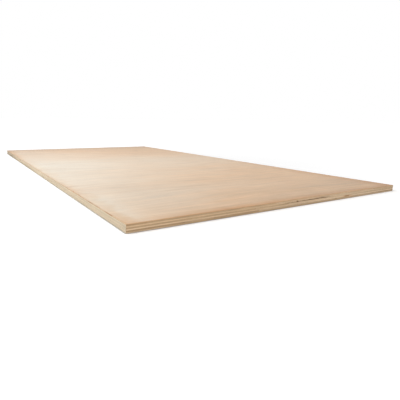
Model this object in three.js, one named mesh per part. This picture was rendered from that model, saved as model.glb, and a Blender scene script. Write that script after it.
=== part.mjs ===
// Plywood sheet: seven veneers glued up with the grain of each at right angles to the next,
// then sawn to size and sanded. It lies flat on its back veneer.
//
// Frame, in millimetres: the origin is the centre of the underside, +X runs along the length,
// +Y across the width and +Z up.

import * as THREE from 'three';

// ---- Driving dimensions, mm ----------------------------------------------------------------

const SHEET_LENGTH = 2440; // along X
const SHEET_WIDTH = 1220; // along Y
const FACE_VENEER = 1.5; // sanded thinner than the rest, because it is the show side
const INNER_PLY = 4; // each of the five plies under it
const BACK_VENEER = 3.5;
const ARRIS_RADIUS = 0.5; // sanding round on the outer edges of the back and face veneers
const ARRIS_STEPS = 4; // flats that make up that round

// A pin knot that the saw cut through and that has dropped out, in a ply whose grain runs along Y.
const KNOT_HOLE_DIAMETER = 7;
const KNOT_HOLE_PLACE = 20; // along Y from the middle of the +X edge
const KNOT_HOLE_STEPS = 8; // flats that make up its half circle

// Two strips of a crossband that part towards the +X edge, closing to a point inside the sheet.
const CORE_GAP_WIDTH = 5;
const CORE_GAP_DEPTH = 140;
const CORE_GAP_PLACE = 230; // along Y from the middle of the +X edge

// ---- Finishes ------------------------------------------------------------------------------

const FACE_WOOD = 0xe3cbaf; // sanded rotary-cut face, pale pinkish tan
const BACK_WOOD = 0xdcc2a3;
const LONG_GRAIN = 0xd3b890; // plies that show long grain at the short edges
const END_GRAIN = 0xa98763; // plies that show end grain at the short edges

const BARE_WOOD_ROUGHNESS = 0.7;

const finish = (colour) =>
  new THREE.MeshStandardMaterial({ color: colour, roughness: BARE_WOOD_ROUGHNESS, metalness: 0 });

// ---- Plan outlines of the plies ------------------------------------------------------------

// The +X edge runs from -Y to +Y, so an opening in it is drawn where the outline passes it.
function sheetOutline(drawOpening = () => {}) {
  const x = SHEET_LENGTH / 2;
  const y = SHEET_WIDTH / 2;
  const outline = new THREE.Shape();
  outline.moveTo(-x, -y);
  outline.lineTo(x, -y);
  drawOpening(outline, x);
  outline.lineTo(x, y);
  outline.lineTo(-x, y);
  outline.closePath();
  return outline;
}

// Half of a round hole, cut open by the edge.
function knotHole(outline, edgeX) {
  const radius = KNOT_HOLE_DIAMETER / 2;
  outline.lineTo(edgeX, KNOT_HOLE_PLACE - radius);
  outline.absarc(edgeX, KNOT_HOLE_PLACE, radius, -Math.PI / 2, Math.PI / 2, true);
}

// A long thin wedge, widest at the edge.
function coreGap(outline, edgeX) {
  const halfWidth = CORE_GAP_WIDTH / 2;
  outline.lineTo(edgeX, CORE_GAP_PLACE - halfWidth);
  outline.lineTo(edgeX - CORE_GAP_DEPTH, CORE_GAP_PLACE);
  outline.lineTo(edgeX, CORE_GAP_PLACE + halfWidth);
}

// ---- Ply solids, each standing on its own z = 0 --------------------------------------------

const innerPly = (drawOpening) => (thickness) =>
  new THREE.ExtrudeGeometry(sheetOutline(drawOpening), {
    depth: thickness,
    bevelEnabled: false,
    curveSegments: KNOT_HOLE_STEPS,
  });

// Rings of four corners from the glue line to the open side, where the last ones draw in along a
// quarter circle. `outward` is 1 with the open side up and -1 with it down.
const outerVeneer = (outward) => (thickness) => {
  const rings = [{ inset: 0, height: 0 }];
  for (let step = 0; step <= ARRIS_STEPS; step += 1) {
    const angle = (step / ARRIS_STEPS) * (Math.PI / 2);
    rings.push({
      inset: ARRIS_RADIUS * (1 - Math.cos(angle)),
      height: thickness - ARRIS_RADIUS * (1 - Math.sin(angle)),
    });
  }
  if (outward < 0) {
    for (const ring of rings) ring.height = thickness - ring.height;
    rings.reverse();
  }

  const corners = [[-1, -1], [1, -1], [1, 1], [-1, 1]]; // anticlockwise, seen from above
  const positions = rings.flatMap(({ inset, height }) =>
    corners.flatMap(([sideX, sideY]) => [
      sideX * (SHEET_LENGTH / 2 - inset),
      sideY * (SHEET_WIDTH / 2 - inset),
      height,
    ]),
  );

  const last = corners.length * (rings.length - 1);
  const triangles = [0, 2, 1, 0, 3, 2, last, last + 1, last + 2, last, last + 2, last + 3];
  for (let ring = 0; ring < rings.length - 1; ring += 1) {
    for (let corner = 0; corner < corners.length; corner += 1) {
      const here = ring * corners.length + corner;
      const next = ring * corners.length + ((corner + 1) % corners.length);
      triangles.push(here, next, next + corners.length);
      triangles.push(here, next + corners.length, here + corners.length);
    }
  }

  const geometry = new THREE.BufferGeometry();
  geometry.setAttribute('position', new THREE.Float32BufferAttribute(positions, 3));
  geometry.setIndex(triangles);
  return geometry.toNonIndexed();
};

// ---- The lay-up, from the back veneer up ---------------------------------------------------

const LAY_UP = [
  { name: 'back_veneer', grain: 'Y', thickness: BACK_VENEER, solid: outerVeneer(-1), colour: BACK_WOOD },
  { name: 'crossband_lower', grain: 'X', thickness: INNER_PLY, solid: innerPly(coreGap), colour: END_GRAIN },
  { name: 'core_lower', grain: 'Y', thickness: INNER_PLY, solid: innerPly(), colour: LONG_GRAIN },
  { name: 'crossband_centre', grain: 'X', thickness: INNER_PLY, solid: innerPly(), colour: END_GRAIN },
  { name: 'core_upper', grain: 'Y', thickness: INNER_PLY, solid: innerPly(knotHole), colour: LONG_GRAIN },
  { name: 'crossband_upper', grain: 'X', thickness: INNER_PLY, solid: innerPly(), colour: END_GRAIN },
  { name: 'face_veneer', grain: 'Y', thickness: FACE_VENEER, solid: outerVeneer(1), colour: FACE_WOOD },
];

// Glued faces meet at one height, so each glue line sits on a grid that 32-bit numbers hold exactly.
const HEIGHT_STEPS_PER_MM = 1024;
const glueLine = (height) => Math.round(height * HEIGHT_STEPS_PER_MM) / HEIGHT_STEPS_PER_MM;

const sheet = new THREE.Group();
let height = 0;
for (const { name, grain, thickness, solid, colour } of LAY_UP) {
  const underside = glueLine(height);
  height += thickness;
  const geometry = solid(glueLine(height) - underside);
  geometry.computeVertexNormals();
  const ply = new THREE.Mesh(geometry, finish(colour));
  ply.name = name;
  ply.position.z = underside;
  ply.userData.grainAxis = grain;
  sheet.add(ply);
}

export default sheet;
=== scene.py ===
"""Plywood sheet: seven cross-banded veneers lying flat, with a pale sanded face and bare sawn edges.

Every ply of the frame is replaced by a detailed mesh of the same size, which adds the relief of the
sawn edges, the rounded arrises and the grain of the open faces. Lengths are in metres.
"""

import math
from dataclasses import dataclass

import bpy
import numpy as np
from mathutils import Matrix, Vector


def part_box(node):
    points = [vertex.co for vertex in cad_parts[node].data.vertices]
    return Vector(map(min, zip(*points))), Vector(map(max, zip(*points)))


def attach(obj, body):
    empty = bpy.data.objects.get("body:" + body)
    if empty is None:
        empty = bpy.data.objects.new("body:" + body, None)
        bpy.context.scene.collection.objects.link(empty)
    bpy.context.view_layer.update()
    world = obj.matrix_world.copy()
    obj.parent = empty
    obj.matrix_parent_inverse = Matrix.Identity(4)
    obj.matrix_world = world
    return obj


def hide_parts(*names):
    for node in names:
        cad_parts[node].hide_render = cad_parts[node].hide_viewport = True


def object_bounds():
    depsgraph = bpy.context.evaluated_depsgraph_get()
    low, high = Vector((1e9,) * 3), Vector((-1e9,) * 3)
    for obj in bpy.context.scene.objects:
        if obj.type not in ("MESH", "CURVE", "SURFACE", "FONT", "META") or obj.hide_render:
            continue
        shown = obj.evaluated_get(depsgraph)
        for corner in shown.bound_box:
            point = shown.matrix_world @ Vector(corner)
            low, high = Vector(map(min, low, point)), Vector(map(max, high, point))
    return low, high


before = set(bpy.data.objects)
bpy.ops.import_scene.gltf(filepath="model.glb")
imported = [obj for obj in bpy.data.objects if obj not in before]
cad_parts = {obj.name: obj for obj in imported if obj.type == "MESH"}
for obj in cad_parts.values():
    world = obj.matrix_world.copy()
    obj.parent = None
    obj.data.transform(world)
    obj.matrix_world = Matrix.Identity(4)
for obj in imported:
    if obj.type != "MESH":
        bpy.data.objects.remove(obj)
CAD_LOW, CAD_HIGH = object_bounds()

MM = 0.001
HALF_LENGTH = CAD_HIGH.x
HALF_WIDTH = CAD_HIGH.y


# ---- Camera --------------------------------------------------------------------------------------

CAMERA_PLACE = Vector((2.0548, -0.9546, 0.2864))
CAMERA_AZIMUTH = math.radians(58.045)  # how far the view turns from +Y towards -X
CAMERA_ELEVATION = math.radians(12.414)
CAMERA_ROLL = math.radians(0.733)
CAMERA_LENS_MM, CAMERA_SENSOR_MM = 32.902, 36.0
CAMERA_SHIFT = 0.0375  # the sheet sits a little right of the lens axis


def make_camera():
    """The photo's view, low over the near corner."""
    camera = bpy.data.objects.new("camera", bpy.data.cameras.new("camera"))
    bpy.context.scene.collection.objects.link(camera)
    camera.data.sensor_width = CAMERA_SENSOR_MM
    camera.data.lens = CAMERA_LENS_MM
    camera.data.shift_x = CAMERA_SHIFT
    flat = Vector((-math.sin(CAMERA_AZIMUTH), math.cos(CAMERA_AZIMUTH), 0)) * math.cos(CAMERA_ELEVATION)
    ahead = flat - Vector((0, 0, math.sin(CAMERA_ELEVATION)))
    turned = ahead.to_track_quat("-Z", "Y").to_matrix() @ Matrix.Rotation(CAMERA_ROLL, 3, "Z")
    camera.matrix_world = Matrix.Translation(CAMERA_PLACE) @ turned.to_4x4()
    bpy.context.scene.camera = camera


# ---- Lay-up --------------------------------------------------------------------------------------


@dataclass(frozen=True)
class Ply:
    """One veneer of the lay-up, named after the CAD node that it replaces."""

    node: str
    slot: str
    grain: str  # the axis that its fibres follow
    seed: int
    # How pale its sawn edges are, 0 for the darkest wood and 1 for the palest, as (place, paleness)
    # from the negative end. Along the grain the wood drifts. Across the grain an inner ply changes
    # from strip to strip of veneer, each starting at its place, and an outer one drifts there too.
    drift: tuple
    strips: tuple

    @property
    def low(self):
        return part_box(self.node)[0].z

    @property
    def high(self):
        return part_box(self.node)[1].z

    @property
    def thickness(self):
        return self.high - self.low


CROSSBAND_DRIFT = ((-1.22, 0.30), (-1.00, 0.10), (-0.70, 0.80), (-0.30, 1.00), (1.22, 1.00))

LAY_UP = (
    # Its edges, which run along the foot of the sheet, are darker than the other plies' over most of their
    # length.
    Ply("back_veneer", "back_veneer", "Y", 11,
        ((-0.61, 0.75), (-0.50, 0.46), (-0.40, 0.08), (-0.10, 0.00), (0.16, 0.02), (0.35, 0.42),
         (0.50, 0.70), (0.61, 0.95)),
        ((-1.22, 0.00), (-0.70, 0.20), (-0.20, 0.45), (0.30, 0.80))),
    Ply("crossband_lower", "crossband", "X", 12, CROSSBAND_DRIFT,
        ((-0.61, 0.10), (-0.435, 0.36), (-0.33, 0.26), (-0.155, 0.84), (0.23, 0.66), (0.46, 0.45),
         (0.52, 0.22))),
    Ply("core_lower", "core_ply", "Y", 13,
        ((-0.61, 0.62), (-0.50, 0.50), (-0.35, 0.48), (-0.22, 0.30), (-0.10, 0.44), (0.05, 0.66),
         (0.20, 0.84), (0.38, 1.00), (0.61, 0.95)),
        ((-1.22, 0.25), (-0.74, 0.75), (-0.21, 1.00), (0.33, 0.95), (0.86, 1.00))),
    Ply("crossband_centre", "crossband", "X", 14, CROSSBAND_DRIFT,
        ((-0.61, 0.22), (-0.41, 0.32), (-0.17, 0.50), (-0.02, 0.90), (0.17, 1.00), (0.41, 0.86),
         (0.53, 0.60))),
    Ply("core_upper", "core_ply", "Y", 15,
        ((-0.61, 0.34), (-0.35, 0.26), (-0.10, 0.30), (-0.03, 0.34), (0.13, 0.32), (0.20, 0.50),
         (0.30, 0.64), (0.45, 0.50), (0.61, 0.36)),
        ((-1.22, 0.35), (-0.93, 0.40), (-0.52, 0.95), (0.12, 0.98), (0.64, 1.00), (1.04, 1.00))),
    Ply("crossband_upper", "crossband", "X", 16, CROSSBAND_DRIFT,
        ((-0.61, 0.05), (-0.55, 0.24), (-0.42, 0.36), (-0.08, 0.80), (0.16, 0.96), (0.38, 0.92),
         (0.47, 0.75), (0.55, 0.62))),
    Ply("face_veneer", "face_veneer", "Y", 17,
        ((-0.61, 0.50), (-0.50, 0.30), (-0.35, 0.10), (-0.10, 0.30), (0.30, 0.55), (0.61, 0.60)),
        ((-1.22, 0.20), (-0.70, 0.60), (-0.20, 0.90), (0.30, 1.00))),
)

OUTER_PLIES = ("back_veneer", "face_veneer")

# Openings of the CAD model in the +X edge. Every PLACE on that edge is along Y.
KNOT_HOLE_PLY, KNOT_HOLE_PLACE, KNOT_HOLE_RADIUS = "core_upper", 0.020, 3.5 * MM
CORE_GAP_PLY, CORE_GAP_PLACE = "crossband_lower", 0.230
CORE_GAP_HALF_WIDTH, CORE_GAP_DEPTH = 2.5 * MM, 0.140

# A sound knot that the saw cut through.
KNOT_PLY, KNOT_PLACE = "core_lower", 0.294
KNOT_HALF_LENGTH, KNOT_HALF_HEIGHT = 17 * MM, 2.1 * MM
KNOT_RINGS = 19.0  # how many radians its rings turn through from the middle to the rim

# A stretch where splinters have come away along the glue line under a ply.
SPLIT_PLY, SPLIT_PLACE, SPLIT_HALF_LENGTH = "core_upper", 0.068, 0.140
SPLIT_HEIGHT, SPLIT_DEPTH = 2.0 * MM, 1.4 * MM
SPLIT_GROWTH = 0.009  # how much higher it gets per metre towards +Y

# Rubbing has darkened the top arris of the -Y edge: where along X it grows stronger, and where it ends.
RUBBED_GROWS, RUBBED_END = (0.48, 1.02), 1.125
RUBBED_DEPTH = 3 * MM  # how far below the face a ply can end and still show it
CHIPS = (0.314, 0.733)  # places along X of small chips in the same arris
CHIP_HALF_LENGTH = 7 * MM

# Lathe checks are cracks that the knife opens in one side of a veneer. An edge across the grain has one
# in every space, of a random depth, and the shallow ones are too faint to see.
CHECK_SPACING = 2.6 * MM
CHECK_WIDTH = 0.15  # as a share of a space
CHECK_DEPTH = 0.85  # as a share of the ply's thickness, at most
CHECK_SLANT, CHECK_WOBBLE = 0.9, 1.1 * MM


# ---- Shader graphs -------------------------------------------------------------------------------


def linear(colour):
    """An sRGB colour of 0 to 255 as the linear values that shaders take."""
    values = (c / 255 for c in colour)
    return tuple(v / 12.92 if v <= 0.04045 else ((v + 0.055) / 1.055) ** 2.4 for v in values)


class Nodes:
    """A node tree, with one short call for each kind of node."""

    def __init__(self, tree):
        self.tree = tree

    def add(self, kind, inputs=(), **settings):
        """A new node with these settings, and its inputs fed."""
        node = self.tree.nodes.new(kind)
        for key, value in settings.items():
            setattr(node, key, value)
        self.feed(node, inputs)
        return node

    def feed(self, node, inputs):
        """Link inputs, by name or number, to other nodes' outputs, or set them to plain values."""
        for key, value in dict(inputs).items():
            socket = node.inputs[key]
            if isinstance(value, bpy.types.NodeSocket):
                self.tree.links.new(value, socket)
            elif socket.type == "RGBA" and len(value) == 3:
                socket.default_value = (*value, 1.0)
            else:
                socket.default_value = value

    def math(self, operation, *values):
        return self.add("ShaderNodeMath", enumerate(values), operation=operation).outputs["Value"]

    def plus(self, first, *others):
        for other in others:
            first = self.math("ADD", first, other)
        return first

    def minus(self, first, second):
        return self.math("SUBTRACT", first, second)

    def times(self, first, *others):
        for other in others:
            first = self.math("MULTIPLY", first, other)
        return first

    def seen_directly(self):
        """1 for what the camera sees, also in a reflection or through glass, and 0 for what only lights."""
        path = self.add("ShaderNodeLightPath").outputs
        either = self.math("MAXIMUM", path["Is Camera Ray"], path["Is Glossy Ray"])
        return self.math("MAXIMUM", either, path["Is Transmission Ray"])


class Graph(Nodes):
    """A material's nodes. x, y and z are its object's own coordinates, in metres."""

    def __init__(self, name):
        self.material = bpy.data.materials.new(name)
        self.material.use_nodes = True
        super().__init__(self.material.node_tree)
        self.shader = self.tree.nodes["Principled BSDF"]
        self.coordinates = self.add("ShaderNodeTexCoord").outputs["Object"]
        self.x, self.y, self.z = self.add("ShaderNodeSeparateXYZ", {"Vector": self.coordinates}).outputs

    def away(self, value, centre):
        """How far value is from centre."""
        return self.math("ABSOLUTE", self.minus(value, centre))

    def span(self, value, low, high, to_low=0.0, to_high=1.0):
        """value carried from low..high to to_low..to_high, smoothly and no further."""
        inputs = {"Value": value, "From Min": low, "From Max": high, "To Min": to_low, "To Max": to_high}
        return self.add("ShaderNodeMapRange", inputs, interpolation_type="SMOOTHSTEP").outputs["Result"]

    def broad(self, changes):
        """The sum of broad changes over the sheet, written as PAINTED_SHEEN_CHANGES is."""
        parts = []
        for along_x, along_y in changes:
            part = self.span(self.y, *along_y)
            parts.append(part if along_x is None else self.times(part, self.span(self.x, *along_x)))
        return self.plus(*parts)

    def near_edge(self):
        """1 on the +X edge and 0 on the -X edge, which share a material."""
        return self.math("GREATER_THAN", self.x, 0.0)

    def ramp(self, factor, stops, interpolation="EASE"):
        """stops are (position, level), both 0 to 1."""
        node = self.add("ShaderNodeValToRGB", {"Fac": factor})
        node.color_ramp.interpolation = interpolation
        elements = node.color_ramp.elements
        while len(elements) < len(stops):
            elements.new(1.0)
        for element, (position, level) in zip(elements, stops):
            element.position = position
            element.color = (level, level, level, 1.0)
        return node.outputs["Color"]

    def profile(self, place, half, stops, interpolation="EASE"):
        """The level at a place between -half and half, from stops of (place, level)."""
        share = self.math("MULTIPLY_ADD", place, 0.5 / half, 0.5)
        return self.ramp(share, [(0.5 + 0.5 * at / half, level) for at, level in stops], interpolation)

    def noise(self, scale, shift=0.0, turn=(0, 0, 0), **settings):
        """Noise by the object's coordinates. scale gives its features per metre along each axis."""
        inputs = {"Vector": self.coordinates, "Scale": scale, "Rotation": turn, "Location": [shift] * 3}
        return self.noise_at(self.add("ShaderNodeMapping", inputs).outputs["Vector"], **settings)

    def noise_at(self, vector, detail=3.0, roughness=0.55, distortion=0.0):
        """Noise of -1 to 1, mostly within 0.4 of 0."""
        inputs = {"Vector": vector, "Scale": 1.0, "Detail": detail, "Roughness": roughness}
        node = self.add("ShaderNodeTexNoise", {**inputs, "Distortion": distortion})
        return self.math("MULTIPLY_ADD", node.outputs["Fac"], 2.0, -1.0)

    def vector(self, x, y, z):
        return self.add("ShaderNodeCombineXYZ", {"X": x, "Y": y, "Z": z}).outputs["Vector"]

    def blend(self, factor, first, second, mode="MIX"):
        inputs = {0: factor, 6: first, 7: second}  # 6 and 7 are its two colours
        return self.add("ShaderNodeMix", inputs, data_type="RGBA", blend_type=mode).outputs[2]

    def stain(self, colour, amount, tint):
        """colour darkened by amount of 0 to 1 towards colour times tint."""
        return self.blend(amount, colour, tint, "MULTIPLY")

    def scaled(self, colour, level):
        """colour times a level that is the same for its three channels."""
        inputs = {"Vector": colour, "Scale": level}
        return self.add("ShaderNodeVectorMath", inputs, operation="SCALE").outputs["Vector"]

    def finish(self, colour, roughness, height, relief):
        """The finished material. A height of 1 stands for a relief of so many metres."""
        normal = self.add("ShaderNodeBump", {"Height": height, "Distance": relief}).outputs["Normal"]
        self.feed(self.shader, {"Base Color": colour, "Roughness": roughness, "Normal": normal})
        self.feed(self.shader, {"Specular IOR Level": BARE_WOOD_SPECULAR})
        return self.material


# ---- Wood ----------------------------------------------------------------------------------------

BARE_WOOD_SPECULAR = 0.35

PALE_FACE, WARM_FACE = linear((209, 201, 186)), linear((205, 173, 140))
GLUED_FACE = linear((176, 138, 98))

# The darkest and the palest wood of the sawn edges, by the axis that the edge runs along.
WEATHERED, PALE_EDGE = linear((181, 164, 139)), linear((220, 202, 174))
LONG_GRAIN = {"Y": (linear((198, 166, 126)), linear((232, 206, 173))), "X": (WEATHERED, PALE_EDGE)}
END_GRAIN = {"Y": (linear((176, 143, 107)), linear((216, 188, 156))), "X": (WEATHERED, PALE_EDGE)}

# Tints that a full stain multiplies the wood's colour by.
LATE_WOOD = (0.86, 0.80, 0.74)
PORE = (0.62, 0.54, 0.46)
CRACK = (0.45, 0.36, 0.30)
KNOT_HALO, KNOT_WOOD, KNOT_RING = (1.00, 0.85, 0.69), (0.60, 0.46, 0.34), (0.70, 0.62, 0.55)
# A bark ring and painted shade on the walls of the knot hole.
BARK_AND_SHADE = (0.42, 0.30, 0.22)
# Painted shade in the torn hollow of the split.
SPLIT_SHADE = (0.20, 0.15, 0.11)
GLUE = (0.55, 0.44, 0.34)
JOINT = (0.20, 0.14, 0.10)
HANDLED = (0.88, 0.76, 0.64)
ORANGED = (0.90, 0.74, 0.56)
BURNT = (0.70, 0.51, 0.37)
CHIPPED = (0.90, 0.64, 0.52)
# Painted shade along the foot of the long edges: its tint, and how high it reaches.
FOOT_SHADE, FOOT_SHADE_HEIGHT = (0.78, 0.68, 0.54), 10 * MM

# The wood of an open face along the sheet, as (x, warmth, level): warmth is 0 for the palest wood and
# 1 for the warmest, and level scales its brightness. On the face the pale, bright middle is partly
# painted sheen, and the darker, warmer ends are partly a painted falloff of the light.
FACE_BANDS_AND_SHEEN = (
    (-1.22, 0.98, 0.75), (-1.16, 0.94, 0.83), (-1.10, 0.82, 0.96), (-0.95, 0.66, 1.02), (-0.70, 0.58, 1.06),
    (-0.48, 0.49, 1.06), (-0.28, 0.22, 1.08), (0.10, 0.06, 1.08), (0.24, 0.22, 1.08), (0.60, 0.31, 1.06),
    (0.72, 0.46, 1.03), (0.84, 0.40, 1.01), (1.00, 0.43, 0.98), (1.12, 0.64, 0.97), (1.22, 0.80, 0.93),
)
BACK_BANDS = (
    (-1.22, 0.60, 0.97), (-0.70, 0.48, 1.02), (-0.10, 0.72, 0.98), (0.45, 0.52, 1.02), (0.95, 0.76, 0.97),
    (1.22, 0.60, 0.99),
)

# Broad changes of the same two, each a step along x, or None, times one along y. A step is
# (from, to, before, after). The changes of warmth are painted sheen, which pales the wood where the light
# glances off it, and the changes of level are painted light and shade.
PAINTED_SHEEN_CHANGES = (
    ((-0.30, 0.50, 0.36, 0.50), (-0.68, 0.08, 0.0, 1.0)),  # painted sheen: paler along the front edge, warmer away from it
    (None, (0.05, 0.42, 0.0, 0.14)),  # and a little more so towards the back edge
    ((0.70, 1.00, 0.0, 1.0), (-0.58, -0.50, -0.25, 0.0)),  # painted sheen: paler on the front edge by the near corner
)
PAINTED_LIGHT_CHANGES = (
    ((0.93, 1.12, 0.0, 1.0), (-0.50, 0.10, 0.04, -0.07)),  # painted light and shade: along the near end, darker towards the back
    (None, (-0.60, -0.10, -0.02, 0.03)),  # painted shade: a little darker along the front edge
    ((0.60, 0.90, 0.0, 1.0), (-0.54, -0.38, 0.06, 0.0)),  # painted light: lighter by the near corner
)


def veneer_face(name, bands, tone, contrast, shift):
    """A sanded rotary-cut veneer with its grain along Y. shift picks its place in the noise."""
    g = Graph(name)

    # All the figure follows fibres that wave gently from one long edge to the other.
    waved = g.math("MULTIPLY_ADD", g.noise((1.7, 1.2, 1.0), detail=1.5, shift=shift), 0.06, g.x)

    def grained(across_per_metre, along_per_metre, layer, **settings):
        place = (g.times(waved, across_per_metre), g.times(g.y, along_per_metre), shift + layer)
        return g.noise_at(g.vector(*place), **settings)

    # Heartwood and sapwood lie in wide soft bands. On the face, these bands and the broad changes added to
    # them also hold painted sheen and painted light.
    warmth_and_sheen = g.profile(waved, HALF_LENGTH, [(x, warm) for x, warm, _ in bands], "B_SPLINE")
    level = g.profile(waved, HALF_LENGTH, [(x, bright / 2) for x, _, bright in bands], "B_SPLINE")
    cloud = grained(6.0, 2.0, 1.1, detail=3.0)
    tint = grained(34.0, 2.2, 2.2, detail=3.0)
    warmth_and_sheen = g.plus(warmth_and_sheen, g.broad(PAINTED_SHEEN_CHANGES), g.times(cloud, 0.24 * contrast),
                    g.times(tint, 0.15 * contrast))
    colour = g.blend(g.math("MAXIMUM", warmth_and_sheen, 0.0), PALE_FACE, WARM_FACE)

    # The lathe peels round the log, so the growth rings spread into wide flowing contours.
    terrain = grained(1.7, 0.42, 3.3, detail=2.5, roughness=0.5, distortion=0.15)
    ring = g.math("FRACT", g.times(g.plus(terrain, 2.0), 12.0))
    late = g.ramp(ring, ((0.0, 0.0), (0.55, 0.12), (0.86, 1.0), (1.0, 0.0)))
    colour = g.stain(colour, g.times(late, 0.17 * contrast), LATE_WOOD)

    mottle = grained(9.0, 11.0, 4.4, detail=2.0)
    streaks = grained(52.0, 3.0, 5.5, detail=3.0, roughness=0.62, distortion=0.1)
    threads = grained(150.0, 5.5, 9.9, detail=2.0, roughness=0.6)
    fibres = grained(560.0, 12.0, 6.6, detail=3.0, roughness=0.65)
    figure = g.plus(g.times(mottle, 0.05), g.times(streaks, 0.15), g.times(threads, 0.13),
                    g.times(fibres, 0.08))
    # The figure is fainter where the wood is paler, which on the face is partly painted sheen.
    figure = g.times(figure, g.math("MULTIPLY_ADD", warmth_and_sheen, 0.7, 0.76))
    # The level holds the bands' brightness and the painted light and shade of PAINTED_LIGHT_CHANGES.
    level = g.plus(g.times(level, 2 * tone), g.times(figure, contrast), g.broad(PAINTED_LIGHT_CHANGES))
    colour = g.scaled(colour, level)
    dark = g.span(grained(30.0, 2.4, 7.7, detail=3.0, distortion=0.2), 0.14, 0.42)
    colour = g.stain(colour, g.times(dark, 0.45 * contrast), LATE_WOOD)

    # Open vessels show as short dark dashes along the grain.
    vessels = g.span(grained(1300.0, 70.0, 8.8, detail=1.0), 0.26, 0.42)
    colour = g.stain(colour, g.times(vessels, 0.30), PORE)

    colour = handled_margins(g, colour, shift + 8)
    colour = g.stain(colour, rubbed_arris(g), BURNT)
    colour = g.stain(colour, chipped(g), CHIPPED)

    height = g.plus(g.times(streaks, 0.5), g.times(fibres, 0.4), g.times(vessels, -0.5))
    roughness = g.math("MULTIPLY_ADD", g.plus(streaks, g.times(vessels, 0.8)), 0.14, 0.50)
    return g.finish(colour, roughness, height, 0.10 * MM)


def handled_margins(g, colour, shift):
    """The margins of a face, which handling and edge sanding leave a little darker and more orange."""
    ragged = g.noise((11.0, 11.0, 1.0), detail=3.0, shift=shift)
    from_ends = g.minus(HALF_LENGTH, g.math("ABSOLUTE", g.x))
    from_sides = g.minus(HALF_WIDTH, g.math("ABSOLUTE", g.y))
    margin = g.math("MINIMUM", from_ends, from_sides)

    # A border all round, widest at the far end.
    reach = g.plus(g.span(g.x, -1.15, -0.40, 36 * MM, 19 * MM), g.span(g.x, 0.70, 1.00, 0.0, -11 * MM))
    reach = g.math("MAXIMUM", g.math("MULTIPLY_ADD", ragged, 22 * MM, reach), 5 * MM)
    border = g.span(g.math("DIVIDE", margin, reach), 0.0, 1.0, 1.0, 0.0)
    colour = g.stain(colour, g.times(border, 0.7), HANDLED)

    # A wide soft one at the back edge, which grows towards the near end.
    back = g.span(g.plus(g.y, g.times(ragged, 50 * MM)), 0.50, 0.60)
    colour = g.stain(colour, g.times(back, g.span(g.x, -0.2, 1.1, 0.12, 1.0)), HANDLED)

    # Orange ones at the near end, the far end and two stretches of the front edge.
    from_near_end = g.plus(g.minus(HALF_LENGTH, g.x), g.times(ragged, -20 * MM))
    near_end = g.span(from_near_end, 5 * MM, 55 * MM, 0.75, 0.0)
    colour = g.stain(colour, g.times(near_end, g.span(g.y, -0.60, -0.25, 0.5, 1.0)), ORANGED)
    far_end = g.span(g.plus(g.x, HALF_LENGTH), 8 * MM, 45 * MM, 0.55, 0.0)
    colour = g.stain(colour, far_end, ORANGED)
    from_front = g.plus(g.y, HALF_WIDTH, g.times(ragged, 70 * MM))
    stretches = g.plus(g.span(g.x, -0.9, -0.3, 0.45, 0.20), g.span(g.x, 0.35, 0.75, 0.0, 0.25),
                       g.span(g.x, 0.95, 1.2, 0.0, 0.30))
    front = g.times(stretches, g.span(from_front, 10 * MM, 60 * MM, 1.0, 0.0))
    colour = g.stain(colour, front, ORANGED)

    # A thin line beside every arris.
    return g.stain(colour, g.span(margin, 0.5 * MM, 2.5 * MM, 0.55, 0.0), HANDLED)


def top_arris(g):
    """How far a point is from the top arris of the front long edge."""
    from_side = g.plus(g.y, HALF_WIDTH)
    from_top = g.minus(CAD_HIGH.z, g.z)
    return g.math("SQRT", g.plus(g.times(from_side, from_side), g.times(from_top, from_top)))


def rubbed_arris(g):
    """Where rubbing has darkened the top arris of the front long edge, which stops short of its end."""
    line = g.span(top_arris(g), 1.2 * MM, 2.6 * MM, 1.0, 0.0)
    stretch = g.times(g.span(g.x, *RUBBED_GROWS), g.math("LESS_THAN", g.x, RUBBED_END))
    broken = g.span(g.noise((16.0, 16.0, 1.0), detail=2.0), -0.35, 0.3, 0.25, 1.0)
    return g.times(line, stretch, broken)


def chipped(g):
    """Small chips in the top arris of the front long edge, which show the redder wood below."""
    line = g.span(top_arris(g), 1.8 * MM, 3.8 * MM, 1.0, 0.0)
    apart = [g.away(g.x, place) for place in CHIPS]
    spots = [g.span(off, 0.5 * CHIP_HALF_LENGTH, CHIP_HALF_LENGTH, 1.0, 0.0) for off in apart]
    return g.times(line, g.plus(*spots))


def ply_colour(g, ply, along, colours):
    """An edge's darkest and palest colour blended as its ply drifts or changes from strip to strip."""
    run = g.y if along == "Y" else g.x
    if along == ply.grain or ply.node in OUTER_PLIES:
        half = HALF_WIDTH if along == "Y" else HALF_LENGTH
        return g.blend(g.profile(run, half, ply.drift if along == ply.grain else ply.strips), *colours)
    paleness = ply.strips[0][1]
    for (_, before), (start, level) in zip(ply.strips, ply.strips[1:]):
        paleness = g.plus(paleness, g.times(g.math("GREATER_THAN", run, start), level - before))
    colour = g.blend(paleness, *colours)
    for start, _ in ply.strips[1:]:
        joint = g.span(g.away(run, start), 0.2 * MM, 0.6 * MM, 0.45, 0.0)
        colour = g.stain(colour, joint, JOINT)
    return colour


def worn_and_shaded(g, ply, along, colour):
    """What handling leaves on the edges, a rubbed and chipped top arris in front, and painted shade along the
    foot of the long edges.
    """
    if along == "X" and ply.high > CAD_HIGH.z - RUBBED_DEPTH:
        colour = g.stain(colour, rubbed_arris(g), BURNT)
        colour = g.stain(colour, chipped(g), CHIPPED)
    if along == "X" and ply.low < FOOT_SHADE_HEIGHT:
        # Painted shade: the foot of the long edges is darker, most towards the far end.
        shade_at_foot = g.times(g.span(g.z, 1 * MM, FOOT_SHADE_HEIGHT, 1.0, 0.0), g.span(g.x, -0.6, 0.3, 1.0, 0.0))
        colour = g.stain(colour, shade_at_foot, FOOT_SHADE)
    if ply.node == "face_veneer":
        colour = g.stain(colour, 0.9, HANDLED)
    return colour


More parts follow.
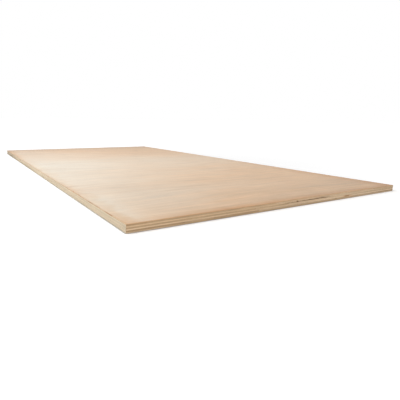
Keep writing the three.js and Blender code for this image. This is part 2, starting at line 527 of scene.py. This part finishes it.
def glue_lines(g, ply, colour):
    """The dark lines where a ply meets its neighbours."""
    for height in (ply.low, ply.high):
        if 0 < height < CAD_HIGH.z:
            line = g.span(g.away(g.z, height), 0.08 * MM, 0.30 * MM, 0.75, 0.0)
            colour = g.stain(colour, line, GLUE)
    return colour


def saw_marks(g):
    """The fine slanting scores of one saw cut, which run on from ply to ply."""
    return g.noise((380.0, 380.0, 20.0), detail=3.0, turn=(0.18, 0.18, 0))


def knot_flow(g, ply):
    """z as the fibres follow it round the knot, and how far a point is from its middle: 1 on its rim."""
    centre = (ply.low + ply.high) / 2
    along = g.math("DIVIDE", g.minus(g.y, KNOT_PLACE), KNOT_HALF_LENGTH)
    squared = g.times(along, along)
    near = g.times(g.math("EXPONENT", g.times(squared, -0.35)), g.near_edge())
    off = g.minus(g.z, centre)
    left = g.minus(g.times(off, off), g.times(near, KNOT_HALF_HEIGHT**2))
    flowed = g.times(g.math("SQRT", g.math("MAXIMUM", left, 0.0)), g.math("SIGN", off))
    rise = g.math("DIVIDE", off, KNOT_HALF_HEIGHT)
    apart = g.math("SQRT", g.plus(squared, g.times(rise, rise)))
    return g.plus(flowed, centre), apart


def knot_wood(g, colour, apart):
    """The knot's brown wood with darker rings in it, and an orange halo round it."""
    halo = g.times(g.span(apart, 0.8, 3.2, 0.8, 0.0), g.near_edge())
    inside = g.times(g.span(apart, 0.75, 1.15, 1.0, 0.0), g.near_edge())
    rings = g.span(g.math("SINE", g.times(apart, KNOT_RINGS)), -0.2, 0.8)
    colour = g.stain(g.stain(colour, halo, KNOT_HALO), inside, KNOT_WOOD)
    return g.stain(colour, g.times(inside, rings), KNOT_RING)


def long_grain(name, ply, along, colours):
    """A sawn edge that runs with the grain: fine fibres along it, some running out at a slant."""
    g = Graph(name)
    run = g.y if along == "Y" else g.x
    marked = ply.node if along == "Y" else None  # the knot, the hole and the split are on a short edge
    flowing, from_knot = knot_flow(g, ply) if marked == KNOT_PLY else (g.z, None)
    slant = g.noise((3.0, 3.0, 1.0), detail=1.0, shift=ply.seed)
    leaning = g.math("MULTIPLY_ADD", slant, 2.5 * MM, flowing)

    def grained(along_per_metre, thin_per_metre, **settings):
        place = (g.times(run, along_per_metre), float(ply.seed), g.times(leaning, thin_per_metre))
        return g.noise_at(g.vector(*place), **settings)

    fibres = grained(22.0, 1000.0, detail=5.0, roughness=0.62)
    bundles = grained(7.0, 330.0, detail=2.0)
    vessels = g.span(grained(90.0, 3200.0, detail=1.0), 0.26, 0.42)
    patches = g.noise((9.0, 9.0, 60.0), detail=3.0, shift=ply.seed)
    saw = saw_marks(g)

    level = g.plus(g.times(fibres, 0.26), g.times(bundles, 0.16), g.times(patches, 0.22),
                   g.times(saw, 0.05), 1.0)
    colour = g.scaled(ply_colour(g, ply, along, colours), level)
    colour = g.stain(colour, g.times(vessels, 0.35), PORE)
    if marked == KNOT_PLY:
        colour = knot_wood(g, colour, from_knot)
    if marked == SPLIT_PLY:
        # Painted shade in the torn hollow.
        colour = g.stain(colour, painted_split_shade(g, ply, fibres), SPLIT_SHADE)
    if marked == KNOT_HOLE_PLY:
        # The hole's walls are darkened, partly as a bark ring and partly as painted shade.
        off = g.away(g.y, KNOT_HOLE_PLACE)
        ring = g.span(off, KNOT_HOLE_RADIUS, KNOT_HOLE_RADIUS + 1.0 * MM, 1.0, 0.0)
        colour = g.stain(colour, g.times(ring, g.near_edge()), BARK_AND_SHADE)
    colour = worn_and_shaded(g, ply, along, glue_lines(g, ply, colour))

    relief = g.plus(g.times(fibres, 0.8), g.times(saw, 0.5), g.times(vessels, -0.6))
    return g.finish(colour, g.math("MULTIPLY_ADD", fibres, 0.15, 0.62), relief, 0.14 * MM)


def painted_split_shade(g, ply, fibres):
    """Where painted shade darkens the torn hollow at the foot of SPLIT_PLY, with paler splinters left in it.
    """
    reach = g.span(g.away(g.y, SPLIT_PLACE), 0.5 * SPLIT_HALF_LENGTH, SPLIT_HALF_LENGTH, 1.0, 0.0)
    torn = g.plus(g.noise((70.0, 70.0, 1.0), detail=5.0, roughness=0.7), g.times(fibres, 0.6))
    growth = g.times(g.minus(g.y, SPLIT_PLACE), -SPLIT_GROWTH)
    height = g.plus(g.z, g.times(torn, -1.8 * MM), growth)
    below = g.span(height, ply.low + 0.6 * SPLIT_HEIGHT, ply.low + SPLIT_HEIGHT, 1.0, 0.0)
    splinters = g.span(fibres, 0.05, 0.35, 1.0, 0.35)
    return g.times(reach, below, splinters, g.near_edge())


def lathe_checks(g, ply, run):
    """Slanting cracks that start at one side of a veneer and close towards their tips."""
    climbed = g.minus(g.z, ply.low) if ply.seed % 2 else g.minus(ply.high, g.z)
    wobble = g.noise((260.0, 260.0, 420.0), detail=2.0, shift=ply.seed)
    place = g.plus(run, g.times(climbed, CHECK_SLANT), g.times(wobble, CHECK_WOBBLE))
    place = g.math("DIVIDE", place, CHECK_SPACING)
    space = {"W": g.plus(g.math("FLOOR", place), 1000.0 * ply.seed)}
    chance = g.add("ShaderNodeTexWhiteNoise", space, noise_dimensions="1D").outputs["Value"]
    middle = g.away(g.math("FRACT", place), 0.5)
    line = g.span(middle, 0.02, 0.5 * CHECK_WIDTH, 1.0, 0.0)
    depth = g.times(chance, CHECK_DEPTH * ply.thickness)
    closing = g.span(g.math("DIVIDE", climbed, depth), 0.3, 1.0, 1.0, 0.0)
    return g.times(line, closing, g.span(chance, 0.2, 0.8))


def end_grain(name, ply, along, colours):
    """A sawn edge across the grain: thin ring lines, open pores and slanting lathe checks."""
    g = Graph(name)
    run = g.y if along == "Y" else g.x

    rings = g.noise((13.0, 13.0, 1500.0), detail=3.0, shift=ply.seed)
    pores = g.span(g.noise((2600.0, 2600.0, 2600.0), detail=1.0, shift=ply.seed), 0.20, 0.45)
    patches = g.noise((8.0, 8.0, 90.0), detail=3.0, shift=ply.seed)
    saw = saw_marks(g)
    checks = lathe_checks(g, ply, run)

    level = g.plus(g.times(rings, 0.30), g.times(patches, 0.30), g.times(saw, 0.10), 1.0)
    colour = g.scaled(ply_colour(g, ply, along, colours), level)
    colour = g.stain(colour, g.times(pores, 0.30), PORE)
    colour = g.stain(colour, g.times(checks, 0.75), CRACK)
    colour = worn_and_shaded(g, ply, along, glue_lines(g, ply, colour))

    relief = g.plus(g.times(saw, 0.7), g.times(rings, 0.3), g.times(pores, -0.4), g.times(checks, -1.0))
    return g.finish(colour, 0.78, relief, 0.18 * MM)


def glued_side(name, grain):
    """The side of a veneer that is under the glue, which shows only inside the openings."""
    g = Graph(name)
    fibres = g.noise((9.0, 380.0, 1.0) if grain == "X" else (380.0, 9.0, 1.0), detail=5.0, roughness=0.65)
    spread = g.noise((4.0, 45.0, 30.0) if grain == "X" else (45.0, 4.0, 30.0), detail=3.0)
    colour = g.scaled(GLUED_FACE, g.math("MULTIPLY_ADD", fibres, 0.2, 1.0))
    colour = g.stain(colour, g.span(spread, -0.3, 0.3, 0.25, 0.55), GLUE)
    return g.finish(colour, g.span(spread, -0.3, 0.3, 0.65, 0.40), fibres, 0.1 * MM)


# ---- Outlines ------------------------------------------------------------------------------------

COLUMN = 2.0 * MM  # spacing of the points along a long edge
GRAIN_ROWS = 20  # rows of the grain relief across the sheet, which changes slowly along the grain
POINTS_PER_ROW = 30  # points of a short edge beside each of those rows
CORNER_RADIUS = 0.6 * MM
CORNER_POINTS = 3
SIDES = ((0, -1), (1, 0), (0, 1), (-1, 0))  # outward normals, anticlockwise from the -Y edge
SIDES_ALONG = {"X": (0, 2), "Y": (1, 3)}
KNOT_HOLE_POINTS = 17
CORE_GAP_POINTS = 15  # of each wall
WANDER_KNOTS = 4096  # after so many wavelengths a random line repeats


def wander(distance, wavelength, seed):
    """A smooth random line of -1 to 1 that changes over about one wavelength."""
    knots = np.random.default_rng(seed).uniform(-1, 1, WANDER_KNOTS)
    at = np.asarray(distance) / wavelength
    whole = np.floor(at).astype(int)
    part = at - whole
    part = part * part * (3 - 2 * part)
    return knots[whole % WANDER_KNOTS] * (1 - part) + knots[(whole + 1) % WANDER_KNOTS] * part


class Outline:
    """A ply's closed outline, anticlockwise. An opening is drawn into the +X edge, as points."""

    def __init__(self, opening=None):
        self.columns = round(2 * HALF_LENGTH / COLUMN)
        self.across = GRAIN_ROWS * POINTS_PER_ROW
        rim = []  # each point with its normal, its side and its place along that side
        for side, (nx, ny) in enumerate(SIDES):
            normal = np.array((nx, ny), float)
            run = np.array((-ny, nx), float)  # the way round, along this side
            half, off = (HALF_LENGTH, HALF_WIDTH) if nx == 0 else (HALF_WIDTH, HALF_LENGTH)
            count = self.columns if nx == 0 else self.across
            mouth = (opening[0][1], opening[-1][1]) if opening and side == 1 else None
            for step in np.linspace(CORNER_RADIUS - half, half - CORNER_RADIUS, count + 1):
                if mouth and mouth[0] <= step <= mouth[1]:
                    continue
                if mouth and step > mouth[1]:
                    for place in opening:
                        rim.append((np.array(place), normal * (place[0] == off), side, place[1]))
                    mouth = None
                rim.append((run * step + normal * off, normal, side, step * run.sum()))
            centre = run * (half - CORNER_RADIUS) + normal * (off - CORNER_RADIUS)
            for step in range(1, CORNER_POINTS + 1):
                angle = math.pi / 2 * step / (CORNER_POINTS + 1)
                turned = normal * math.cos(angle) + run * math.sin(angle)
                rim.append((centre + turned * CORNER_RADIUS, turned, side, half * run.sum()))

        # A place is x on a long edge and y on a short one.
        self.points, self.normals, self.sides, self.places = (np.array(column) for column in zip(*rim))
        self.lap = self.places + 10.0 * self.sides  # tells the sides apart in a random line
        self.start = [int(np.argmax(self.sides == side)) for side in range(4)]

    def cut(self, count):
        """The steps from each point to the next, cut into rows of one length: row, start and end in it."""
        steps = np.linalg.norm(np.roll(self.points, -1, axis=0) - self.points, axis=1)
        starts = (np.cumsum(steps) - steps) * count / steps.sum()
        steps = steps * count / steps.sum()
        rows = np.floor(starts + steps / 2).astype(int)
        return list(zip(rows, np.clip(starts - rows, 0, 1), np.clip(starts + steps - rows, 0, 1)))

    def ring(self, inset, height):
        """The outline drawn in by inset, at a height."""
        flat = self.points - self.normals * np.asarray(inset)[..., None]
        return np.column_stack((flat, np.broadcast_to(height, len(flat))))


def knot_hole():
    """Half of a round hole, cut open by the edge."""
    angles = np.linspace(-math.pi / 2, math.pi / 2, KNOT_HOLE_POINTS)
    depths = KNOT_HOLE_RADIUS * np.cos(angles)
    depths[[0, -1]] = 0.0  # the ends lie exactly on the edge
    places = KNOT_HOLE_PLACE + KNOT_HOLE_RADIUS * np.sin(angles)
    return [(HALF_LENGTH - depth, place) for depth, place in zip(depths, places)]


def core_gap():
    """Two strips that part towards the edge, closing to a point inside the sheet."""
    depths = np.linspace(0, 1, CORE_GAP_POINTS)
    rough = 0.6 * MM * wander(depths, 0.12, 5) * depths * (1 - depths)
    walls = CORE_GAP_HALF_WIDTH * (1 - depths) + rough
    xs = HALF_LENGTH - CORE_GAP_DEPTH * depths
    return [*zip(xs, CORE_GAP_PLACE - walls), *zip(xs[-2::-1], CORE_GAP_PLACE + walls[-2::-1])]


OPENINGS = {KNOT_HOLE_PLY: knot_hole, CORE_GAP_PLY: core_gap}


# ---- Relief of the edges and faces ---------------------------------------------------------------

EDGE_ROWS = (0.0, 0.1, 0.3, 0.5, 0.7, 0.9, 1.0)  # how far up an edge its points are, from 0 to 1
TORN_PLACES = 26  # shallow hollows that torn fibres leave in the long grain of a ply's edges
GLUE_LINE_DEPTH = 0.06 * MM  # glue lines sit a little deeper than the wood


def saw_cut(outline):
    """How far the saw strayed inside the sheet's true edge, the same for every ply."""
    return MM * (0.05 + 0.03 * wander(outline.lap, 0.11, 1) + 0.02 * wander(outline.lap, 0.009, 2))


def edge_relief(outline, ply, row):
    """How far an edge lies inside the sheet's true edge at a height in the ply's thickness."""
    inset = saw_cut(outline)
    cut_across = ~np.isin(outline.sides, SIDES_ALONG[ply.grain])
    fuzz = 0.03 * MM * (1 + wander(outline.lap, 3.1 * MM, ply.seed + int(10 * row)))
    pits = 3 * MM * np.clip(wander(outline.lap, 4.3 * MM, ply.seed + 50 + int(10 * row)) - 0.90, 0, None)
    inset = inset + np.where(cut_across, fuzz + pits, 0.3 * fuzz)
    inset = inset + torn_places(outline, ply, row)
    if ply.node not in OUTER_PLIES:
        for start, _ in ply.strips[1:]:  # the joint between two strips is a groove
            inset = inset + 0.3 * MM * cut_across * bell(outline.places, start, 1.5 * MM)
    if ply.node == SPLIT_PLY:
        inset = inset + split_hollow(outline, ply, row)
    if row in (0.0, 1.0):
        inset = inset + GLUE_LINE_DEPTH
    return inset


def bell(places, centre, width):
    """A bell curve, 1 at its centre."""
    return np.exp(-(((places - centre) / width) ** 2))


def torn_places(outline, ply, row):
    """The hollows that torn fibres leave in the two edges along the grain, at a height in them."""
    generator = np.random.default_rng(ply.seed)
    reach = HALF_LENGTH if ply.grain == "X" else HALF_WIDTH
    hollow = 0.0
    for _ in range(TORN_PLACES):
        side = generator.choice(SIDES_ALONG[ply.grain])
        centre, height = generator.uniform(-reach, reach), generator.uniform(0.15, 0.85)
        length, depth = generator.uniform(12, 45) * MM, generator.uniform(0.1, 0.45) * MM
        along = bell(outline.places, centre, length) * (outline.sides == side)
        hollow = hollow + depth * along * bell(row, height, 0.16)
    return hollow


def split_hollow(outline, ply, row):
    """The hollow at the foot of SPLIT_PLY, ragged along its top."""
    reach = np.clip(2.5 - 2.5 * np.abs(outline.places - SPLIT_PLACE) / SPLIT_HALF_LENGTH, 0, 1)
    torn = 0.3 * wander(outline.lap, 21 * MM, 8) + 0.5 * wander(outline.lap, 5 * MM, 9)
    top = SPLIT_HEIGHT * (1 + torn) + SPLIT_GROWTH * (outline.places - SPLIT_PLACE)
    below = np.clip((top - row * ply.thickness) / (0.4 * MM), 0, 1)
    return SPLIT_DEPTH * reach * below * (outline.sides == 1)


def arris_radius(outline, ply):
    """The rounding of the outer edge. Most of the wear is on the front edge beside the near corner."""
    radius = 0.60 + 0.15 * wander(outline.lap, 60 * MM, ply.seed) + 0.10 * wander(outline.lap, 9 * MM, 3)
    nicks = 5 * MM * np.clip(wander(outline.lap, 14 * MM, ply.seed + 30) - 0.93, 0, None)
    worn = np.clip(1 - (HALF_LENGTH - outline.places) / (95 * MM), 0, 1)
    for place in CHIPS:
        worn = worn + bell(outline.places, place, 0.5 * CHIP_HALF_LENGTH)
    worn = worn * (outline.sides == 0) * (ply.node == "face_veneer")
    radius = MM * radius + nicks + 0.9 * MM * worn
    return np.minimum(radius, 0.7 * ply.thickness)


def face_relief(x, y, seed):
    """How far a sanded face lies below the sheet's true surface: low ridges along the grain."""
    ridges = 0.008 * MM * (1 + wander(x, 4 * MM, seed)) + 0.014 * MM * (1 + wander(x, 13 * MM, seed + 1))
    across = x + 0.02 * wander(y, 0.35, seed + 2)
    return ridges + 0.05 * MM * (1 + wander(across, 0.12, seed + 3)) * (1 + 0.4 * wander(y, 0.3, seed + 4))


# ---- Ply meshes ----------------------------------------------------------------------------------

ARRIS_STEPS = 4
OUTER_EDGE_ROWS = (0.0, 0.1, 0.25)  # as EDGE_ROWS, from the glued side to where the rounding starts
SHARP_ANGLE = math.radians(50)
SURFACES = {"hidden": 0, "short": 1, "long": 2, "face": 3}  # material slots of a ply

# An edge is a few millimetres high and seven metres round, so each ply has a map on which its edges
# are cut into rows, one above the other.
MAP_NAME = "OFBake"
MAP_MARGIN = 2 / 1024


@dataclass(frozen=True)
class Patch:
    """A rectangle of a ply's map, which runs from 0 to 1 both ways."""

    left: float
    low: float
    width: float
    height: float

    def at(self, across, up):
        """The place on the map of a point that is so far across and up the patch, from 0 to 1."""
        return (
            self.left + MAP_MARGIN + across * (self.width - 2 * MAP_MARGIN),
            self.low + MAP_MARGIN + up * (self.height - 2 * MAP_MARGIN),
        )

    def rows(self, count):
        height = self.height / count
        return [Patch(self.left, self.low + row * height, self.width, height) for row in range(count)]


INNER_EDGES = Patch(0.0, 0.0, 1.0, 0.75).rows(24)
INNER_CAPS = Patch(0.0, 0.75, 0.5, 0.25), Patch(0.5, 0.75, 0.5, 0.25)
OUTER_HALVES = Patch(0.0, 0.0, 1.0, 0.43), Patch(0.0, 0.43, 1.0, 0.43)  # of the open face, from -X
OUTER_EDGES = Patch(0.0, 0.86, 1.0, 0.10).rows(8)
OUTER_CAP = Patch(0.0, 0.96, 1.0, 0.04)


class Solid:
    """Points and faces gathered ring by ring, each face with its surface and its place on the map."""

    def __init__(self):
        self.points, self.faces, self.surfaces, self.places = [], [], [], []

    def add(self, positions):
        self.points.extend(positions.tolist())
        return np.arange(len(self.points) - len(positions), len(self.points))

    def face(self, indices, surface, places):
        self.faces.append([int(i) for i in indices])
        self.surfaces.append(SURFACES[surface])
        self.places.extend(places)

    def level_face(self, indices, surface, patch, first=-HALF_LENGTH, last=HALF_LENGTH):
        """A face in the plane of the sheet. The patch holds the sheet's whole width, from x first to last."""
        places = []
        for index in indices:
            x, y, _ = self.points[index]
            places.append(patch.at((x - first) / (last - first), 0.5 + 0.5 * y / HALF_WIDTH))
        self.face(indices, surface, places)

    def walls(self, rings, outline, rows):
        """Quads between each ring and the next one up, laid in rows of the map."""
        points = np.array(self.points)
        climbs = [np.linalg.norm(points[b] - points[a], axis=1).mean() for a, b in zip(rings, rings[1:])]
        levels = np.concatenate(([0.0], np.cumsum(climbs))) / sum(climbs)
        surfaces = ["long" if side in SIDES_ALONG["X"] else "short" for side in outline.sides]
        spans = outline.cut(len(rows))
        for lower, upper, low, high in zip(rings, rings[1:], levels, levels[1:]):
            quads = zip(lower, np.roll(lower, -1), np.roll(upper, -1), upper)
            for quad, surface, (row, start, end) in zip(quads, surfaces, spans):
                corners = ((start, low), (end, low), (end, high), (start, high))
                self.face(quad, surface, [rows[row].at(*corner) for corner in corners])

    def build(self, name, materials):
        mesh = bpy.data.meshes.new(name)
        mesh.from_pydata(self.points, [], self.faces)
        mesh.polygons.foreach_set("material_index", self.surfaces)
        mesh.uv_layers.new(name=MAP_NAME).data.foreach_set("uv", np.ravel(self.places))
        mesh.shade_smooth()
        mesh.set_sharp_from_angle(angle=SHARP_ANGLE)
        for material in materials:
            mesh.materials.append(material)
        piece = bpy.data.objects.new(name, mesh)
        bpy.context.scene.collection.objects.link(piece)
        return piece


def inner_ply(ply):
    """A ply between two others, with flat faces that the glue hides."""
    opening = OPENINGS.get(ply.node)
    outline = Outline(opening() if opening else None)
    solid = Solid()
    rings = []
    for row in EDGE_ROWS:
        inset = edge_relief(outline, ply, row)
        rings.append(solid.add(outline.ring(inset, ply.low + ply.thickness * row)))
    solid.walls(rings, outline, INNER_EDGES)
    solid.level_face(rings[0][::-1], "hidden", INNER_CAPS[0])
    solid.level_face(rings[-1], "hidden", INNER_CAPS[1])
    return solid


def outer_veneer(ply, outward):
    """The face veneer, with outward 1, or the back veneer, with outward -1."""
    outline = Outline()
    solid = Solid()
    glued, surface = (ply.low, ply.high) if outward > 0 else (ply.high, ply.low)
    radius = arris_radius(outline, ply)
    shapes = []
    for row in OUTER_EDGE_ROWS:
        shapes.append((edge_relief(outline, ply, row), glued + outward * row * ply.thickness))
    relief = edge_relief(outline, ply, 0.5)
    for step in range(ARRIS_STEPS + 1):
        angle = math.pi / 2 * step / ARRIS_STEPS
        inset = relief + radius * (1 - math.cos(angle))
        shapes.append((inset, surface - outward * radius * (1 - math.sin(angle))))
    rings = [solid.add(outline.ring(*shape)) for shape in shapes]
    solid.walls(rings[::outward], outline, OUTER_EDGES)
    solid.level_face(rings[0][::-outward], "hidden", OUTER_CAP)
    open_face(solid, outline, rings[-1], ply, surface, outward)
    return solid


def open_face(solid, outline, rim, ply, surface, outward):
    """The grain relief inside the rim: a grid of long cells, and cells that join it to the rim."""
    xs = outline.points[1 : outline.columns, 0]
    right = outline.points[outline.start[1] :, 1]
    ys = right[POINTS_PER_ROW : outline.across : POINTS_PER_ROW]
    x, y = np.meshgrid(xs, ys)
    z = surface - outward * face_relief(x, y, ply.seed + 70)
    grid = solid.add(np.column_stack((x.ravel(), y.ravel(), z.ravel()))).reshape(x.shape)
    rows, columns = grid.shape

    def cell(*indices):
        left = min(solid.points[index][0] for index in indices) < -MM
        patch, first = (OUTER_HALVES[0], -HALF_LENGTH) if left else (OUTER_HALVES[1], 0.0)
        solid.level_face(indices[::outward], "face", patch, first, first + HALF_LENGTH)

    def stretch(side, first, last):
        """The rim's points from the first to the last, counted from the start of a side."""
        return [rim[(outline.start[side] + i) % len(rim)] for i in range(first, last + 1)]

    for j in range(rows - 1):
        for i in range(columns - 1):
            cell(grid[j, i], grid[j, i + 1], grid[j + 1, i + 1], grid[j + 1, i])
    for i in range(columns - 1):
        cell(*stretch(0, i + 1, i + 2), grid[0, i + 1], grid[0, i])
        far = outline.columns - i - 2
        cell(*stretch(2, far, far + 1), grid[-1, i], grid[-1, i + 1])
    for j in range(rows - 1):
        first = (j + 1) * POINTS_PER_ROW
        cell(*stretch(1, first, first + POINTS_PER_ROW), grid[j + 1, -1], grid[j, -1])
        first = outline.across - first - POINTS_PER_ROW
        cell(*stretch(3, first, first + POINTS_PER_ROW), grid[j, 0], grid[j + 1, 0])

    # Each corner of the grid, with the rim from one side round to the next.
    corners = (grid[0, -1], grid[-1, -1], grid[-1, 0], grid[0, 0])
    for side, corner in enumerate(corners):
        if side in SIDES_ALONG["X"]:
            first, last = outline.columns - 1, outline.columns + CORNER_POINTS + 1 + POINTS_PER_ROW
        else:
            first, last = outline.across - POINTS_PER_ROW, outline.across + CORNER_POINTS + 2
        cell(*stretch(side, first, last), corner)


# ---- The sheet -----------------------------------------------------------------------------------


def edge_material(ply, along):
    """The wood of the two edges that run along an axis."""
    kind, colours = (long_grain, LONG_GRAIN) if ply.grain == along else (end_grain, END_GRAIN)
    return kind(f"{ply.node}_{'short' if along == 'Y' else 'long'}_edges", ply, along, colours[along])


def make_sheet():
    """A dressed piece in the place of every ply."""
    glued = {axis: glued_side(f"glued_{axis.lower()}", axis) for axis in "XY"}
    for ply in LAY_UP:
        materials = [glued[ply.grain], edge_material(ply, "Y"), edge_material(ply, "X")]
        if ply.node == "face_veneer":
            solid = outer_veneer(ply, 1)
            materials.append(veneer_face("face", FACE_BANDS_AND_SHEEN, tone=1.0, contrast=1.0, shift=0.0))
        elif ply.node == "back_veneer":
            solid = outer_veneer(ply, -1)
            materials.append(veneer_face("back", BACK_BANDS, tone=0.94, contrast=1.4, shift=40.0))
        else:
            solid = inner_ply(ply)
        piece = solid.build(f"{ply.node}_wood", materials)
        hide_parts(ply.node)
        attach(piece, "root")


# ---- Studio --------------------------------------------------------------------------------------

FLOOR_HALF_SIZE = 60.0
FLOOR_GAP = 0.1 * MM  # keeps the floor and the underside apart
FLOOR_WHITE = 0.9

# The shade on the floor close by the sheet.
CONTACT_REACH, CONTACT_STRENGTH, CONTACT_SAMPLES = 6 * MM, 1.5, 8

# The floor's own white fills in what the lamps leave grey: little round the middle of their light, and
# more further off.
GLOW_CENTRE = (0.0, -0.8)
GLOW_DISTANCES, GLOW_LEVELS = (0.6, 5.0), (0.07, 1.0)

WORLD_LIGHT, WORLD_SEEN = 0.38, 1.0  # how strongly the world lights, and how strong it looks
LAMP_SIZE = 1.8
LAMPS = {  # place and power in watts
    "key_light": ((0.00, -1.80, 3.12), 95.0),
    "back_light": ((-2.95, 0.00, 2.06), 12.0),
    "front_light": ((3.36, -0.90, 0.93), 19.0),
}


def make_floor():
    """A white floor that keeps a part of the sheet's shadow."""
    mesh = bpy.data.meshes.new("floor")
    corners = [(x * FLOOR_HALF_SIZE, y * FLOOR_HALF_SIZE, 0) for x, y in ((-1, -1), (1, -1), (1, 1), (-1, 1))]
    mesh.from_pydata(corners, [], [(0, 1, 2, 3)])
    floor = bpy.data.objects.new("floor", mesh)
    floor.location.z = -FLOOR_GAP
    bpy.context.scene.collection.objects.link(floor)

    g = Graph("floor_white")
    contact = g.add("ShaderNodeAmbientOcclusion", {"Distance": CONTACT_REACH}, samples=CONTACT_SAMPLES)
    white = g.scaled((FLOOR_WHITE,) * 3, g.math("POWER", contact.outputs["AO"], CONTACT_STRENGTH))
    g.feed(g.shader, {"Base Color": white, "Roughness": 1.0, "Specular IOR Level": 0.0})
    off_x, off_y = (g.minus(value, at) for value, at in zip((g.x, g.y), GLOW_CENTRE))
    distance = g.math("SQRT", g.plus(g.times(off_x, off_x), g.times(off_y, off_y)))
    level = g.span(distance, *GLOW_DISTANCES, *GLOW_LEVELS)
    glow = g.add("ShaderNodeEmission", {"Strength": g.times(level, g.seen_directly())})
    both = g.add("ShaderNodeAddShader", {0: g.shader.outputs[0], 1: glow.outputs[0]})
    g.feed(g.tree.nodes["Material Output"], {"Surface": both.outputs[0]})
    mesh.materials.append(g.material)


def make_world():
    """A white world, whose light is weaker than its look."""
    world = bpy.data.worlds.new("studio")
    bpy.context.scene.world = world
    world.use_nodes = True
    g = Nodes(world.node_tree)
    level = g.math("MULTIPLY_ADD", g.seen_directly(), WORLD_SEEN - WORLD_LIGHT, WORLD_LIGHT)
    g.feed(g.tree.nodes["Background"], {"Color": (1.0, 1.0, 1.0), "Strength": level})


def soft_box(name, place, power):
    """A large square lamp that faces the middle of the sheet."""
    light = bpy.data.lights.new(name, "AREA")
    light.shape = "SQUARE"
    light.size = LAMP_SIZE
    light.energy = power
    lamp = bpy.data.objects.new(name, light)
    lamp.location = place
    lamp.rotation_euler = (-Vector(place)).to_track_quat("-Z", "Y").to_euler()
    lamp.visible_camera = False
    bpy.context.scene.collection.objects.link(lamp)


make_camera()
make_sheet()
make_floor()
make_world()
for lamp_name, (lamp_place, lamp_power) in LAMPS.items():
    soft_box(lamp_name, lamp_place, lamp_power)

bpy.context.scene.view_settings.view_transform = "Standard"
